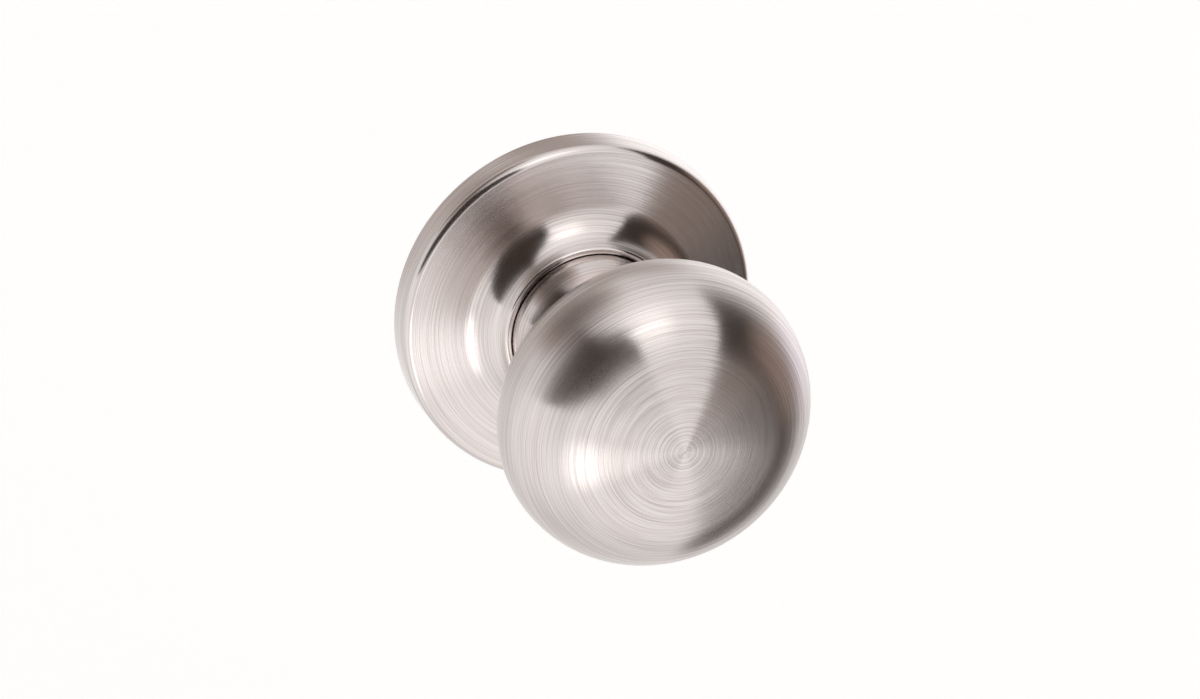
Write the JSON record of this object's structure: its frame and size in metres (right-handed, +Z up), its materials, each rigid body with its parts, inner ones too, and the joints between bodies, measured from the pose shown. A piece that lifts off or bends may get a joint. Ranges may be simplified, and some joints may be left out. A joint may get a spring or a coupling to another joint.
{
  "type": "door knob",
  "caption": "Oblate round door knob on a short waisted neck and a round rose, with a sprung spindle and posts behind for fixing through a door.",
  "frame": {"origin": "on the knob's axis, in the plane of the door's face that the rose rests on", "axes": "+Y into the door along the knob's axis, so the knob stands out towards -Y; +Z up; +X to the right of a person facing the knob"},
  "size_m": [0.066, 0.1139, 0.066],
  "materials": {
    "satin_nickel": "brushed round the axis, satin nickel plate",
    "plated_steel": "zinc plated",
    "cast_zinc": "as die cast",
    "bush_bronze": "sintered, oiled",
    "spring_steel": "oil blackened"
  },
  "bodies": {
    "mounting": {"rose": "satin_nickel", "rose_liner": "plated_steel", "liner_rivets": "plated_steel", "spring_housing": "cast_zinc", "bearing_bush": "bush_bronze", "thrust_washer": "plated_steel", "wave_washer": "spring_steel", "return_spring": "spring_steel", "spring_cover": "plated_steel", "cover_screws": "plated_steel", "post_left": "plated_steel", "post_right": "plated_steel"},
    "knob": {"knob_front_shell": "satin_nickel", "knob_back_shell": "satin_nickel", "knob_stiffener": "plated_steel", "knob_neck": "satin_nickel", "neck_insert": "cast_zinc", "drive_sleeve": "plated_steel", "drive_cam": "spring_steel", "retaining_ring": "spring_steel", "spindle": "plated_steel", "spindle_pin": "spring_steel", "catch_spring": "spring_steel"},
    "catch": {"knob_catch": "plated_steel"}
  },
  "joints": [
    {"name": "knob_turn", "type": "hinge", "parent": "mounting", "child": "knob", "pos_m": [0, 0, 0], "axis": [0, 1, 0], "range_deg": [-60, 60], "stiffness_Nm_per_rad": 0.35, "deforming": ["return_spring"]},
    {"name": "catch_press", "type": "slide", "parent": "knob", "child": "catch", "axis": [0, 0, 1], "range_m": [0, 0.0019], "stiffness_N_per_m": 900, "springref_m": -0.002, "deforming": ["catch_spring"]}
  ]
}
